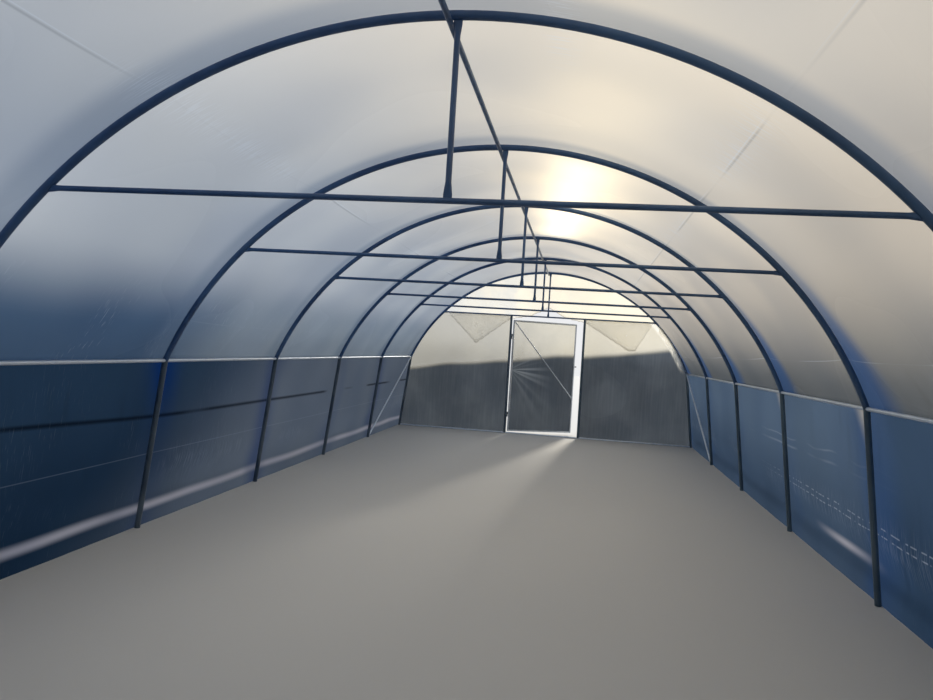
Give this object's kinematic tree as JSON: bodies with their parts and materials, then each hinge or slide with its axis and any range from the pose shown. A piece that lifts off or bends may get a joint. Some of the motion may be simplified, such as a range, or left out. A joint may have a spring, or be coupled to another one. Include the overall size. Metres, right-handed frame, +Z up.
{
  "type": "polytunnel greenhouse",
  "caption": "Walk-in tunnel greenhouse: round steel arches on leaning side posts, tied across, under one translucent film, with a tube-framed door in each gable.",
  "frame": {"origin": "on the ground, in the middle of the tunnel", "axes": "+Z up, +Y along the tunnel towards the far gable of the picture, +X to the right when looking that way"},
  "size_m": [5.3454, 15.8362, 2.9885],
  "materials": {
    "arch_steel": "dark slate-blue painted tube, satin",
    "post_steel": "blue-grey painted tube, satin, a little weathered",
    "rail_steel": "bright galvanised tube",
    "fitting_steel": "bare steel, dull",
    "roof_film": "milky translucent film with fine creases",
    "side_film": "bluish translucent film with fine creases",
    "gable_film": "clearer translucent film, creased"
  },
  "bodies": {
    "tunnel": {"hoop_1": "arch_steel", "hoop_2": "arch_steel", "hoop_3": "arch_steel", "hoop_4": "arch_steel", "hoop_5": "arch_steel", "hoop_6": "arch_steel", "hoop_7": "arch_steel", "hoop_8": "arch_steel", "side_posts_left": "post_steel", "side_posts_right": "post_steel", "tie_bars": "arch_steel", "king_posts": "arch_steel", "ridge_purlin": "arch_steel", "hip_rail_left": "rail_steel", "hip_rail_right": "rail_steel", "corner_braces_left": "post_steel", "corner_braces_right": "post_steel", "far_sill": "rail_steel", "far_door_posts": "post_steel", "far_post_hinges": "fitting_steel", "near_sill": "rail_steel", "near_door_posts": "post_steel", "near_post_hinges": "fitting_steel", "roof_film": "roof_film", "side_film_left": "side_film", "side_film_right": "side_film", "far_gable_film_left": "gable_film", "far_gable_film_right": "gable_film", "far_gable_apron": "gable_film", "near_gable_film_left": "gable_film", "near_gable_film_right": "gable_film", "near_gable_apron": "gable_film"},
    "far_door": {"far_leaf_frame": "post_steel", "far_leaf_film": "gable_film", "far_leaf_hinges": "fitting_steel", "far_latch": "fitting_steel"},
    "near_door": {"near_leaf_frame": "post_steel", "near_leaf_film": "gable_film", "near_leaf_hinges": "fitting_steel", "near_latch": "fitting_steel"}
  },
  "joints": [
    {"name": "far_door_hinge", "type": "hinge", "parent": "tunnel", "child": "far_door", "pos_m": [-0.6378, 7.37145, 0], "axis": [0, 0, 1], "range_deg": [-24, 86]},
    {"name": "near_door_hinge", "type": "hinge", "parent": "tunnel", "child": "near_door", "pos_m": [0.6378, -7.37145, 0], "axis": [0, 0, 1], "range_deg": [-24, 86]}
  ]
}
